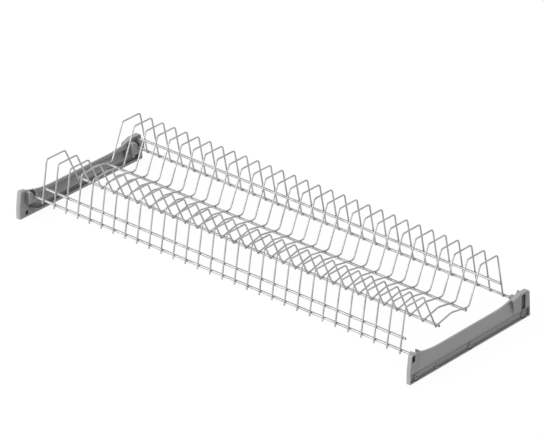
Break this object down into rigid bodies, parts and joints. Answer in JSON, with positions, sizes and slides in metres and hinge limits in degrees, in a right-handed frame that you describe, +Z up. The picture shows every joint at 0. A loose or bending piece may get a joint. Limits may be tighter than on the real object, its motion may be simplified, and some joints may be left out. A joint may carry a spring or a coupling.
{
  "type": "cabinet dish rack",
  "caption": "Wire plate rack for a wall cabinet: rows of wire loops and frames on rails, lifted into two screw-on side brackets.",
  "frame": {"origin": "middle of the footprint, on the undersides of the two brackets", "axes": "+X along the rack to the right-hand bracket, +Y to the rear, +Z up"},
  "size_m": [0.768, 0.272, 0.102],
  "materials": {
    "bracket_plastic": "moulded plastic, silver grey, fine satin grain",
    "rail_chrome": "plated steel rod, satin bright",
    "wire_chrome": "plated steel wire, satin bright"
  },
  "bodies": {
    "brackets": {"left_bracket": "bracket_plastic", "right_bracket": "bracket_plastic"},
    "shelf": {"front_lower_rail": "rail_chrome", "front_upper_rail": "rail_chrome", "middle_rail": "rail_chrome", "rear_bottom_rail": "rail_chrome", "rear_upper_rail": "rail_chrome", "rear_lower_rail": "rail_chrome", "front_loop_01": "wire_chrome", "front_loop_02": "wire_chrome", "front_loop_03": "wire_chrome", "front_loop_04": "wire_chrome", "front_loop_05": "wire_chrome", "front_loop_06": "wire_chrome", "front_loop_07": "wire_chrome", "front_loop_08": "wire_chrome", "front_loop_09": "wire_chrome", "front_loop_10": "wire_chrome", "front_loop_11": "wire_chrome", "front_loop_12": "wire_chrome", "front_loop_13": "wire_chrome", "front_loop_14": "wire_chrome", "front_loop_15": "wire_chrome", "front_loop_16": "wire_chrome", "front_loop_17": "wire_chrome", "front_loop_18": "wire_chrome", "front_loop_19": "wire_chrome", "front_loop_20": "wire_chrome", "front_loop_21": "wire_chrome", "front_loop_22": "wire_chrome", "front_loop_23": "wire_chrome", "front_loop_24": "wire_chrome", "front_loop_25": "wire_chrome", "front_loop_26": "wire_chrome", "front_loop_27": "wire_chrome", "front_loop_28": "wire_chrome", "front_loop_29": "wire_chrome", "front_loop_30": "wire_chrome", "rear_frames_01_02": "wire_chrome", "rear_frames_03_04": "wire_chrome", "rear_frames_05_06": "wire_chrome", "rear_frames_07_08": "wire_chrome", "rear_frames_09_10": "wire_chrome", "rear_frames_11_12": "wire_chrome", "rear_frames_13_14": "wire_chrome", "rear_frames_15_16": "wire_chrome", "rear_frames_17_18": "wire_chrome", "rear_frames_19_20": "wire_chrome", "rear_frames_21_22": "wire_chrome", "rear_frames_23_24": "wire_chrome", "rear_frames_25_26": "wire_chrome", "rear_frames_27_28": "wire_chrome", "rear_frames_29_30": "wire_chrome"}
  },
  "joints": [
    {"name": "shelf_lift", "type": "slide", "parent": "brackets", "child": "shelf", "axis": [0, 0, 1], "range_m": [0, 0.03]}
  ]
}
